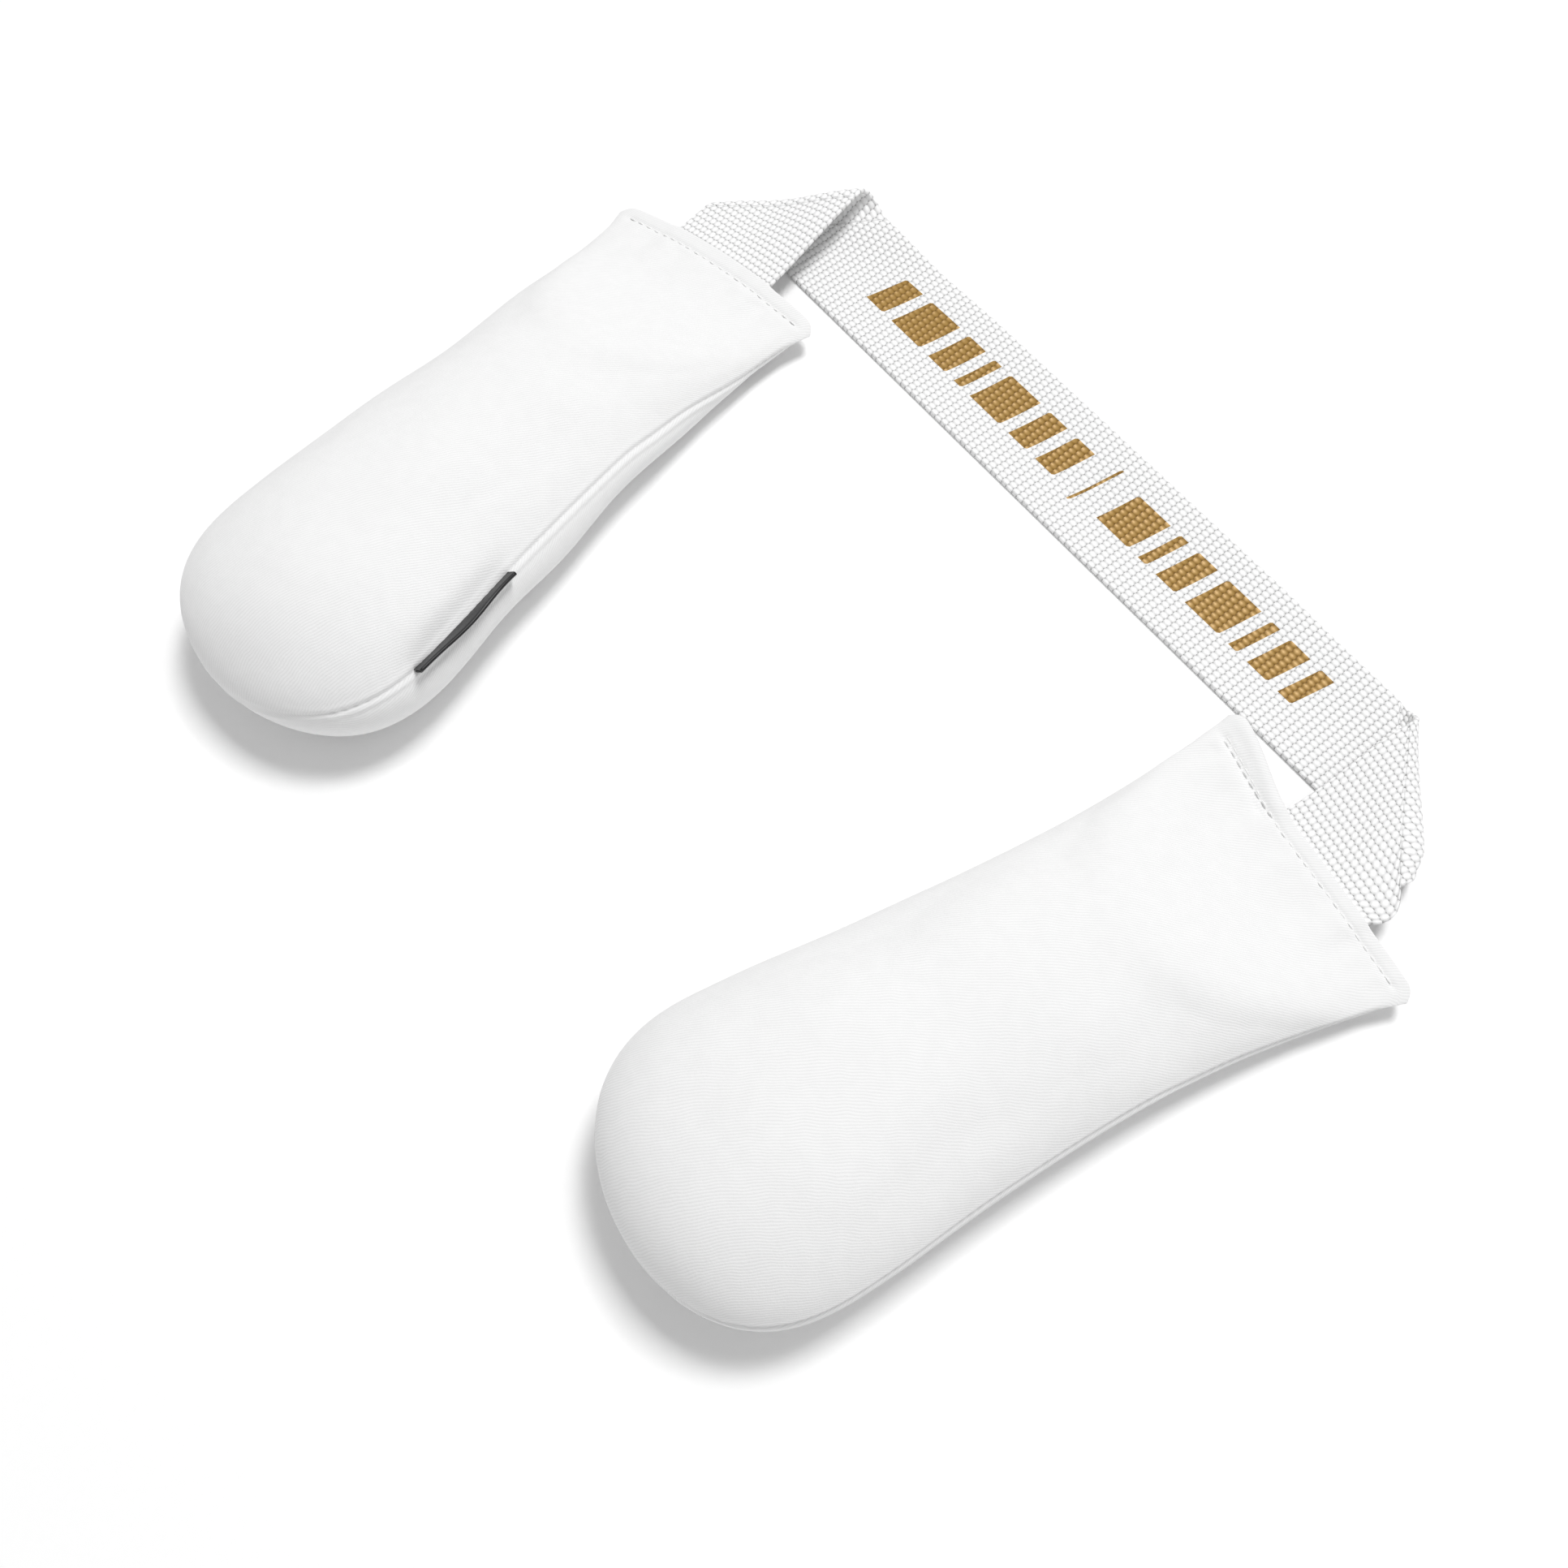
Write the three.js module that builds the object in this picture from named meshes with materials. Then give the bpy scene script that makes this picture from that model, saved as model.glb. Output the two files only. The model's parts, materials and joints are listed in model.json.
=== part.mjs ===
// A pair of boxing-glove deodorisers: two filled fabric pouches joined by one webbing strap.
// Millimetres, +Z up.  The strap's run lies along X, its printed face up.  At each end it is
// folded back over itself along a diagonal, and enters the hem of a pouch that points to -Y.

import * as THREE from 'three';
import { mergeVertices } from 'three/addons/utils/BufferGeometryUtils.js';

// ---- pouch ---------------------------------------------------------------------------------
const POUCH_LENGTH = 220;      // hem edge to round tip
const LEFT_HEM_WIDTH = 84;     // across the sewn mouth, gathered a little on the left pouch
const RIGHT_HEM_WIDTH = 96;    // and spread flat on the right one
const WAIST_WIDTH = 77;        // narrowest place, behind the hem
const MIDDLE_WIDTH = 84;
const BULB_WIDTH = 91;         // widest place, before the round tip
const TIP_LENGTH = 50;         // length of the rounded end
const WAIST_RISE = 17;         // top panel above the seam, behind the hem
const MIDDLE_RISE = 21;
const BULB_RISE = 25;
const HEM_HEIGHT = 8;          // the seam's height over the table at the hem
const WAIST_SEAM = 14;
const MIDDLE_SEAM = 18;
const BULB_SEAM = 21;
const BELLY_PRESS = 4;         // how far the round belly is pressed flat by the table
const HEM_DEPTH = 16;          // flat sewn band behind the hem edge, as deep as the strap's end

// ---- layers --------------------------------------------------------------------------------
const PANEL = 1.2;             // knit panel with its soft backing
const SACHET = 0.6;            // nonwoven inner bag
const THREAD = 0.7;            // sewing thread
const GAP = 0.3;               // clearance between touching pieces
const SEAM_INSET = 1.8;        // seam thread, inside the panels' edges
const SEAM_ROOM = SEAM_INSET + 3 * THREAD;     // space that the seam takes beside the sachet
const STITCH_IN = 4;           // hem stitching, behind the hem edge
const SACHET_START = 2;        // sections behind the hem where the sachet begins
const FILLING_START = 3;       // sections behind the hem where the filling begins

// ---- strap ---------------------------------------------------------------------------------
const STRAP_WIDTH = 40;
const STRAP_THICK = 1.6;
const FOLD_RADIUS = 4.5;       // middle of the webbing, round the fold
const HINGE_OUT = 3;           // bending line of the strap, before the hem edge
const HINGE_GAP = STRAP_THICK + GAP;           // room for the webbing's thickness where it bends
const HEM_THICK = STRAP_THICK + 2 * (PANEL + GAP);     // the strap's end between the two panels
const BIGHT_LENGTH = Math.PI * FOLD_RADIUS;    // of webbing that goes round the fold

// ---- layout --------------------------------------------------------------------------------
const HEM_SPREAD = 138;        // hem centre from the middle of the strap, along X
const HEM_BACK = 40;           // hem centre from the run's centre line, along Y
const LEFT_TOE_IN = 12;        // degrees that each pouch points inwards
const RIGHT_TOE_IN = 9.5;
const LEFT_ROLL = 22;          // degrees that each filled end is rolled about its own length
const RIGHT_ROLL = 8;

// ---- label ---------------------------------------------------------------------------------
const LABEL_LENGTH = 42;
const LABEL_OUT = 5;
const LABEL_THICK = 1.0;
const LABEL_GAP = 0.5;         // between the label's root and the curved seam
const LABEL_AT = 0.735;        // middle of the label, as a share of the pouch's length
const LABEL_LIFT = 2;          // how steeply it stands out, in turns of the pouch's own roll

// ---- fineness ------------------------------------------------------------------------------
const BODY_ROWS = 12;          // along the pouch, to where the rounded end begins
const TIP_ROWS = 6;            // along the rounded end
const ACROSS = 10;             // across one panel
const RUN_STEPS = 20;
const BIGHT_STEPS = 8;
const TURN_STEPS = 5;
const STRAP_ACROSS = 6;
const LABEL_STEPS = 8;
const COURSE_POINTS = 200;     // of the seam's course, where the label looks for its root
const MERGE_WITHIN = 1e-3;

const fabric = { color: 0xf4f4f3, roughness: 0.9, metalness: 0 };
const webbing = { color: 0xf1f1f1, roughness: 0.75, metalness: 0 };
const thread = { color: 0xfafafa, roughness: 0.6, metalness: 0 };
const nonwoven = { color: 0xe9e6dc, roughness: 0.95, metalness: 0 };
const chips = { color: 0xb98a55, roughness: 1, metalness: 0 };
const satin = { color: 0x2b2b2d, roughness: 0.4, metalness: 0 };

const part = new THREE.Group();

// ============================================================================================
// Geometry helpers
// ============================================================================================

function smooth(t) {
  const c = Math.min(Math.max(t, 0), 1);
  return c * c * (3 - 2 * c);
}

// A value that eases from station to station; stations are [place, value] pairs.
function ease(stations, x) {
  for (let k = 1; k < stations.length; k++) {
    const [x0, v0] = stations[k - 1];
    const [x1, v1] = stations[k];
    if (x <= x1) {
      return v0 + (v1 - v0) * smooth((x - x0) / (x1 - x0));
    }
  }
  return stations[stations.length - 1][1];
}

// A closed solid from two grids of points with the same outline: upper[i][j] and lower[i][j].
function layered(upper, lower) {
  const rows = upper.length - 1;
  const cols = upper[0].length - 1;
  const tris = [];
  const quad = (a, b, c, d) => {
    tris.push(a, b, c, a, c, d);
  };
  for (let i = 0; i < rows; i++) {
    for (let j = 0; j < cols; j++) {
      quad(upper[i][j], upper[i + 1][j], upper[i + 1][j + 1], upper[i][j + 1]);
      quad(lower[i][j], lower[i][j + 1], lower[i + 1][j + 1], lower[i + 1][j]);
    }
  }
  for (let i = 0; i < rows; i++) {
    quad(upper[i][0], lower[i][0], lower[i + 1][0], upper[i + 1][0]);
    quad(upper[i][cols], upper[i + 1][cols], lower[i + 1][cols], lower[i][cols]);
  }
  for (let j = 0; j < cols; j++) {
    quad(upper[0][j], upper[0][j + 1], lower[0][j + 1], lower[0][j]);
    quad(upper[rows][j], lower[rows][j], lower[rows][j + 1], upper[rows][j + 1]);
  }
  return closed(tris);
}

// Merges the shared corners, drops triangles with no area and turns the faces outwards.
function closed(points) {
  const flat = new THREE.BufferGeometry();
  flat.setAttribute('position', new THREE.Float32BufferAttribute(points.flatMap((p) => [p.x, p.y, p.z]), 3));
  const merged = mergeVertices(flat, MERGE_WITHIN);
  const index = merged.index.array;
  const kept = [];
  for (let k = 0; k < index.length; k += 3) {
    const [a, b, c] = [index[k], index[k + 1], index[k + 2]];
    if (a !== b && b !== c && c !== a) {
      kept.push(a, b, c);
    }
  }
  const corner = (n) => new THREE.Vector3().fromBufferAttribute(merged.attributes.position, n);
  let volume = 0;
  for (let k = 0; k < kept.length; k += 3) {
    volume += corner(kept[k]).dot(corner(kept[k + 1]).cross(corner(kept[k + 2])));
  }
  merged.setIndex(volume > 0 ? kept : kept.reverse());
  return merged;
}

// A round thread along a list of points.
function threadAlong(points, diameter) {
  const section = new THREE.Shape().absarc(0, 0, diameter / 2, 0, 2 * Math.PI);
  return new THREE.ExtrudeGeometry(section, {
    steps: Math.max(points.length * 2, 4),
    curveSegments: 3,
    bevelEnabled: false,
    extrudePath: new THREE.CatmullRomCurve3(points),
  });
}

function add(group, name, geometry, look) {
  const mesh = new THREE.Mesh(geometry, new THREE.MeshStandardMaterial(look));
  mesh.name = name;
  group.add(mesh);
  return mesh;
}

// ============================================================================================
// The pouch's form, in its own frame: X from the hem to the tip, Z up from the table
// ============================================================================================

const ROUND_SECTION = 2;       // power of the section's outline: an ellipse on the filled body
const FLAT_SECTION = 10;       // and nearly a rectangle at the hem
const TIP_WIDTH_POWER = 3.1;   // how full the rounded end stays, seen from above
const TIP_HEIGHT_POWER = 3;    // and seen from the side
const RIM_STEP = 1e-3;         // small angle that measures how fast the outline turns at the seam
const RIM_LIMIT = 0.2;         // largest angle that the gap at the seam may take

const TIP_START = POUCH_LENGTH - TIP_LENGTH;
const WAIST_AT = POUCH_LENGTH * 0.34;
const MIDDLE_AT = POUCH_LENGTH * 0.6;

const halfWidths = (hemWidth) => [
  [0, hemWidth / 2],
  [WAIST_AT, WAIST_WIDTH / 2],
  [MIDDLE_AT, MIDDLE_WIDTH / 2],
  [TIP_START, BULB_WIDTH / 2],
];
const RISE = [
  [0, HEM_THICK / 2],
  [HEM_DEPTH, HEM_THICK / 2],
  [WAIST_AT, WAIST_RISE],
  [MIDDLE_AT, MIDDLE_RISE],
  [TIP_START, BULB_RISE],
];
const SEAM = [
  [0, HEM_HEIGHT],
  [HEM_DEPTH, HEM_HEIGHT],
  [WAIST_AT, WAIST_SEAM],
  [MIDDLE_AT, MIDDLE_SEAM],
  [TIP_START, BULB_SEAM],
];
const DROP = [
  [0, HEM_THICK / 2],
  [HEM_DEPTH, HEM_THICK / 2],
  [WAIST_AT, WAIST_SEAM + BELLY_PRESS],
  [MIDDLE_AT, MIDDLE_SEAM + BELLY_PRESS],
  [TIP_START, BULB_SEAM + BELLY_PRESS],
];

// Cross-sections: the hem edge, the back of the sewn band, then even steps to the rounded end.
function sectionAt(k) {
  return k === 0 ? 0 : HEM_DEPTH + (TIP_START - HEM_DEPTH) * (k - 1) / (BODY_ROWS - 1);
}

// How much of the width and of the height is left on the rounded end.
const roundWidth = (t) => Math.sqrt(Math.max(1 - Math.pow(t, TIP_WIDTH_POWER), 0));
const roundHeight = (t) => Math.sqrt(Math.max(1 - Math.pow(t, TIP_HEIGHT_POWER), 0));

// A point of the section at x: angle 0 is the +Y side, a quarter turn is the top.
function sectionPoint(x, size, angle) {
  const c = Math.abs(Math.cos(angle));
  const boxy = FLAT_SECTION + (ROUND_SECTION - FLAT_SECTION) * smooth(x / WAIST_AT);
  const share = Math.sqrt(Math.max(1 - Math.pow(c, boxy), 0));
  const y = size.half * Math.cos(angle);
  const seam = ease(SEAM, x);
  const above = Math.sin(angle) >= 0;
  const z = above ? seam + size.rise * share : Math.max(seam - size.drop * share, size.floor);
  return new THREE.Vector3(x, y, z);
}

// One layer of a panel, inset from the pouch's outside: sections from startRow to the tip.
function panelGrid(shape, { inset, side = inset, startRow = 0, upper, seamGap = GAP / 2 }) {
  const grid = [];
  const widths = halfWidths(shape.hemWidth);
  for (let k = startRow; k <= BODY_ROWS + TIP_ROWS; k++) {
    const t = Math.sin(Math.max(k - BODY_ROWS, 0) / TIP_ROWS * Math.PI / 2);
    const x = k <= BODY_ROWS ? sectionAt(k) : TIP_START + (TIP_LENGTH - side) * t;
    const size = {
      half: (ease(widths, x) - side) * roundWidth(t),
      rise: (ease(RISE, x) - inset) * roundHeight(t),
      drop: (ease(DROP, x) - inset) * roundHeight(t),
      floor: inset,
    };
    const roll = shape.roll * smooth((x - HEM_DEPTH) / WAIST_AT);
    const rims = [0, Math.PI].map((turn) => {
      const a = sectionPoint(x, size, roll + turn);
      const b = sectionPoint(x, size, roll + turn + RIM_STEP);
      return Math.min(seamGap * RIM_STEP / Math.max(a.distanceTo(b), 1e-6), RIM_LIMIT);
    });
    const row = [];
    for (let j = 0; j <= ACROSS; j++) {
      const turn = rims[0] + (Math.PI - rims[0] - rims[1]) * j / ACROSS;
      row.push(sectionPoint(x, size, upper ? roll + turn : roll - turn));
    }
    grid.push(row);
  }
  return grid;
}

// A shell of the given wall between two insets, open towards the other panel.
function pouchShell(shape, layer) {
  const outer = panelGrid(shape, layer);
  const deeper = { inset: layer.inset + layer.wall, side: layer.side + layer.wall };
  const inner = panelGrid(shape, { ...layer, ...deeper });
  return layered(outer, inner);
}

const SACHET_INSET = PANEL + GAP;
const FILLING_INSET = SACHET_INSET + SACHET + GAP;

// The seam's course: from the hem round the tip and back, inset from the outside.
function seamCourse(shape, inset) {
  const grid = panelGrid(shape, { inset, upper: true, seamGap: 0 });
  const near = grid.map((row) => row[0]);
  const far = grid.slice(0, -1).reverse().map((row) => row[ACROSS]);
  return [...near, ...far];
}

function makePouch(side, shape) {
  const pouch = new THREE.Group();
  pouch.position.set(shape.x, -HEM_BACK, 0);
  pouch.rotation.z = shape.heading;
  part.add(pouch);

  for (const [name, upper] of [['top', true], ['bottom', false]]) {
    const panel = { inset: 0, side: 0, wall: PANEL, upper };
    const sheet = {
      inset: SACHET_INSET,
      side: SACHET_INSET + SEAM_ROOM,
      wall: SACHET,
      startRow: SACHET_START,
      upper,
    };
    add(pouch, `${side}_${name}_panel`, pouchShell(shape, panel), fabric);
    add(pouch, `${side}_inner_sachet_${name}`, pouchShell(shape, sheet), nonwoven);
  }

  const core = {
    inset: FILLING_INSET,
    side: FILLING_INSET + SEAM_ROOM,
    startRow: FILLING_START,
    seamGap: 0,
  };
  const coreTop = panelGrid(shape, { ...core, upper: true });
  const coreBottom = panelGrid(shape, { ...core, upper: false });
  add(pouch, `${side}_filling`, layered(coreTop, coreBottom), chips);

  const tailLength = HEM_DEPTH + HINGE_OUT - HINGE_GAP / 2;
  const tail = add(
    pouch,
    `${side}_strap_tail`,
    new THREE.BoxGeometry(tailLength, STRAP_WIDTH, STRAP_THICK),
    webbing,
  );
  tail.position.set(HEM_DEPTH - tailLength / 2, 0, HEM_HEIGHT);

  const stitchHalf = shape.hemWidth / 2 - 2 * STITCH_IN;
  const stitchHeight = HEM_THICK / 2 + GAP + THREAD / 2;
  for (const [name, face] of [['top', 1], ['bobbin', -1]]) {
    const z = HEM_HEIGHT + face * stitchHeight;
    const row = threadAlong(
      [new THREE.Vector3(STITCH_IN, -stitchHalf, z), new THREE.Vector3(STITCH_IN, stitchHalf, z)],
      THREAD,
    );
    add(pouch, `${side}_hem_${name}_thread`, row, thread);
  }
  const course = seamCourse(shape, PANEL + SEAM_INSET);
  add(pouch, `${side}_side_seam_thread`, threadAlong(course, THREAD), thread);
  return pouch;
}

// The folded label stands out of the seam on the side that faces the other pouch.
function makeLabel(pouch, shape) {
  const middle = POUCH_LENGTH * LABEL_AT;
  const edge = panelGrid(shape, { inset: 0, upper: true, seamGap: 0 }).map((row) => row[0]);
  const seam = new THREE.CatmullRomCurve3(edge);
  const lift = LABEL_LIFT * shape.roll;
  const outwards = new THREE.Vector3(0, Math.cos(lift), Math.sin(lift));
  const upwards = new THREE.Vector3(0, -outwards.z, outwards.y);
  const upper = [];
  const lower = [];
  const course = seam.getPoints(COURSE_POINTS);
  for (let k = 0; k <= LABEL_STEPS; k++) {
    const x = middle + LABEL_LENGTH * (k / LABEL_STEPS - 0.5);
    const root = course.reduce((best, p) => (Math.abs(p.x - x) < Math.abs(best.x - x) ? p : best));
    const place = (out, rise) => root.clone()
      .addScaledVector(outwards, out)
      .addScaledVector(upwards, rise);
    upper.push([place(LABEL_GAP, LABEL_THICK / 2), place(LABEL_OUT, LABEL_THICK / 2)]);
    lower.push([place(LABEL_GAP, -LABEL_THICK / 2), place(LABEL_OUT, -LABEL_THICK / 2)]);
  }
  add(pouch, 'left_side_label', layered(upper, lower), satin);
}

// ============================================================================================
// The strap: run, fold, bight and turned part, for the right side; the left is its mirror
// ============================================================================================

// The fold line halves the angle between run and pouch, so that the webbing meets the hem square.
// Going round the bight moves it along by the bight's length, and the fold's centre allows for it.
function makeFold(mirror, toeDegrees) {
  const toe = THREE.MathUtils.degToRad(toeDegrees);
  const turn = Math.PI / 4 + toe / 2;
  const slant = 1 / Math.tan(turn);
  const back = BIGHT_LENGTH * Math.cos(turn);
  return {
    mirror,
    toe,
    slant,
    centre: HEM_SPREAD + (HEM_BACK - back) * Math.tan(toe) - back * slant,
    outwards: new THREE.Vector3(Math.sin(turn), Math.cos(turn), 0),
  };
}

const folds = {
  left: makeFold(-1, LEFT_TOE_IN),
  right: makeFold(1, RIGHT_TOE_IN),
};

// v runs across the strap, from its front edge to its back edge.
const RUN_HEIGHT = STRAP_THICK / 2;

function foldPoint(fold, y, height) {
  return new THREE.Vector3(fold.centre - y * fold.slant, y, height);
}

function acrossStrap(steps, place) {
  return Array.from({ length: steps + 1 }, (_, j) => place(STRAP_WIDTH * (j / steps - 0.5)));
}

function thickSheet(rows, cols, middle, normalHalf) {
  const face = (sign) => Array.from({ length: rows + 1 }, (_, i) => (
    acrossStrap(cols, (v) => middle(i / rows, v).add(normalHalf(i / rows, v).multiplyScalar(sign)))
  ));
  return layered(face(1), face(-1));
}

const upHalf = () => new THREE.Vector3(0, 0, STRAP_THICK / 2);

function strapRun() {
  const end = (side, v) => folds[side].mirror * (foldPoint(folds[side], v, 0).x - GAP / 2);
  const middle = (u, v) => (
    new THREE.Vector3(end('left', v) + (end('right', v) - end('left', v)) * u, v, RUN_HEIGHT)
  );
  return thickSheet(RUN_STEPS, STRAP_ACROSS, middle, upHalf);
}

// The turned part lies over the run: from the top of the fold to the bending line at the hem.
function strapTurn(fold) {
  const back = HINGE_OUT + HINGE_GAP / 2;
  const middle = (u, v) => {
    const y = v - BIGHT_LENGTH * fold.outwards.y;
    const top = foldPoint(fold, y, RUN_HEIGHT + 2 * FOLD_RADIUS);
    top.addScaledVector(fold.outwards, -GAP / 2);
    const low = new THREE.Vector3(
      HEM_SPREAD + back * Math.sin(fold.toe) - v * Math.cos(fold.toe),
      -HEM_BACK + back * Math.cos(fold.toe) + v * Math.sin(fold.toe),
      HEM_HEIGHT,
    );
    return mirrored(top.lerp(low, u), fold.mirror);
  };
  return thickSheet(TURN_STEPS, STRAP_ACROSS, middle, upHalf);
}

// The bight closes the fold, just inside the two layers that it joins.
function strapBight(fold) {
  const reach = FOLD_RADIUS - STRAP_THICK / 2 - GAP;
  const round = (u, v, radius) => {
    const angle = Math.PI * u;
    const y = v - FOLD_RADIUS * angle * fold.outwards.y;
    const point = foldPoint(fold, y, RUN_HEIGHT + FOLD_RADIUS - radius * Math.cos(angle));
    point.addScaledVector(fold.outwards, radius * Math.sin(angle));
    return mirrored(point, fold.mirror);
  };
  const face = (radius) => Array.from({ length: BIGHT_STEPS + 1 }, (_, i) => (
    acrossStrap(STRAP_ACROSS, (v) => round(i / BIGHT_STEPS, v, radius))
  ));
  return layered(face(reach), face(reach - STRAP_THICK));
}

function mirrored(point, mirror) {
  point.x *= mirror;
  return point;
}

// ============================================================================================
// Assembly
// ============================================================================================

const leftShape = {
  x: -HEM_SPREAD,
  heading: -Math.PI / 2 + folds.left.toe,
  hemWidth: LEFT_HEM_WIDTH,
  roll: THREE.MathUtils.degToRad(LEFT_ROLL),
};
const rightShape = {
  x: HEM_SPREAD,
  heading: -Math.PI / 2 - folds.right.toe,
  hemWidth: RIGHT_HEM_WIDTH,
  roll: THREE.MathUtils.degToRad(RIGHT_ROLL),
};
makeLabel(makePouch('left', leftShape), leftShape);
makePouch('right', rightShape);

add(part, 'strap_run', strapRun(), webbing);
for (const [side, fold] of Object.entries(folds)) {
  add(part, `${side}_strap_bight`, strapBight(fold), webbing);
  add(part, `${side}_strap_turn`, strapTurn(fold), webbing);
}

// The origin is under the middle of the object, on the table.
const box = new THREE.Box3().setFromObject(part, true);
const centre = box.getCenter(new THREE.Vector3());
part.position.set(-centre.x, -centre.y, 0);

export default part;
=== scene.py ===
import json
import math

import bpy
import numpy as np
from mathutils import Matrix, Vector


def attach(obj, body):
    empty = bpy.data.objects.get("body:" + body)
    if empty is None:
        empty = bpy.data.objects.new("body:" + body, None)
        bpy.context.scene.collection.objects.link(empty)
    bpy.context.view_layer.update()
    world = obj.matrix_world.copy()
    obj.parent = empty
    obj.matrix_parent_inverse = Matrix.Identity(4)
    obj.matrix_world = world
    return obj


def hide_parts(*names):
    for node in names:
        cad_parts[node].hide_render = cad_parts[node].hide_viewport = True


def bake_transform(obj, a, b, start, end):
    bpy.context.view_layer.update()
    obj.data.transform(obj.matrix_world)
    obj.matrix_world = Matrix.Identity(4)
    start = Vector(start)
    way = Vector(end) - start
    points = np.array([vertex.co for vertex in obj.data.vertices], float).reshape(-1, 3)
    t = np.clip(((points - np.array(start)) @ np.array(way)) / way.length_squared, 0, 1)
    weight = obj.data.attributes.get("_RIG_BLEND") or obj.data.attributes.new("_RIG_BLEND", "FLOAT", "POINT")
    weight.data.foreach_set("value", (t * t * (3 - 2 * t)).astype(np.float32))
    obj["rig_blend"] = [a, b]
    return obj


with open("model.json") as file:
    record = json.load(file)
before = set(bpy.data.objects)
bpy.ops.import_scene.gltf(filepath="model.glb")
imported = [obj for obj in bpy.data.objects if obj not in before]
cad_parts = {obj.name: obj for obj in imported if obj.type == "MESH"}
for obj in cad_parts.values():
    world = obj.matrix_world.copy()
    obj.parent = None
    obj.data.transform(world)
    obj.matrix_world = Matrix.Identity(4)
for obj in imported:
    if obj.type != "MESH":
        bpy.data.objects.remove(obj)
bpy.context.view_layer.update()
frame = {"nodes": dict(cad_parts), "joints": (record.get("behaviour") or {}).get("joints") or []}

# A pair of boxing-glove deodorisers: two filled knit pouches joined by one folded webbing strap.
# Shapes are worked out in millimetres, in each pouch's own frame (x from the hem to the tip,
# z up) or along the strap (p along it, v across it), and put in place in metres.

MM = 0.001
JOINTS = {joint["name"]: joint for joint in frame["joints"]}
NODES = frame["nodes"]

# ---- pouch, the sizes of the part ----
LENGTH = 220.0
TIP_LENGTH = 50.0
TIP_START = LENGTH - TIP_LENGTH
WAIST_AT = 0.34 * LENGTH
MIDDLE_AT = 0.6 * LENGTH
HEM_DEPTH = 16.0
HEM_HEIGHT = 8.0
HINGE_OUT = 3.0
TIP_WIDTH_POWER = 3.1
TIP_HEIGHT_POWER = 3.0
BELLY_PRESS = 4.0
SEAM_STATIONS = [(0, 8.0), (HEM_DEPTH, 8.2), (WAIST_AT, 13.6), (MIDDLE_AT, 18.0), (TIP_START, 20.6),
                 (LENGTH, 21.2)]
RISE_STATIONS = [(0, 4.5), (40, 13.0), (WAIST_AT, 17.6), (MIDDLE_AT, 22.0), (TIP_START, 24.4),
                 (LENGTH, 25.0)]

# ---- hem ----
LABEL_AT = 0.735 * LENGTH
LABEL_LONG = 42.0
LABEL_REACH = 4.0        # from the seam to where the ribbon turns round
LABEL_GAPS = (0.62, 0.2)     # its outer and inner faces, from the middle between its layers
STITCH_AT = 4.6          # hem stitching behind the edge
LIP = 1.55               # half thickness of the sewn band beside the strap
LIP_ROUND = 0.8          # front of the turned edge
MOUTH = 9.0              # how far the turned edges reach in
STITCH_PITCH = 3.5
STITCH_LENGTH = 2.7
STITCH_RADIUS = 0.3
SEAM_THREAD = 0.2        # radius of the side seam's thread
SEAM_DEPTH = 0.75        # how far inside the rim it lies
FRONT_FADE = 26.0        # where the hem's bow and skew have died out
THREAD_SIDES = 8
THREAD_CAP = np.array([[0, 1, 2, 3], [0, 3, 4, 7], [4, 5, 6, 7]])    # closes a ring of 8 points

# ---- cloth simulation ----
KNIT_CLOTH = {
    "quality": 6, "mass": 0.2, "tension_stiffness": 25, "compression_stiffness": 25,
    "shear_stiffness": 6, "bending_stiffness": 0.2, "vertex_group_mass": "held",
    "vertex_group_shrink": "drawn", "shrink_min": 0.0, "shrink_max": 0.035,
    "use_pressure": True, "uniform_pressure_force": 4.0,
}
CLOTH_STEPS = 20
TRIAL_COLUMNS = 37       # of each panel of the coarse cover that is simulated
TRIAL_BODY = 46          # its rows along the body
TRIAL_TIP = 17           # and over the tip
TRIAL_INSET = 1.2        # how far it starts inside the cover's own form
SMOOTHING = 8            # passes over the movement that is read back
CLOTH_LIMIT = 2.8        # farthest that the simulation may move the cloth
INWARD_LIMIT = 0.3       # and how far of that inwards, where the sachet lies
CLOTH_FROM = 8.0         # the movement starts here behind the hem
CLOTH_FADE = 75.0        # and is whole so much farther on

# ---- strap ----
STRAP_WIDTH = 40.0
STRAP_THICK = 1.6
RUN_HEIGHT = STRAP_THICK / 2
FOLD_RADIUS = 4.5
FOLD_TOP = RUN_HEIGHT + 2 * FOLD_RADIUS
FOLD_REACH = 0.4         # how far a fold's webbing reaches beyond its line on both layers
TAIL_IN = 7.0            # the strap's end, inside the mouth
FACE_POINTS = 44         # across one face of the webbing
EDGE_POINTS = 5          # round one edge

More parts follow.
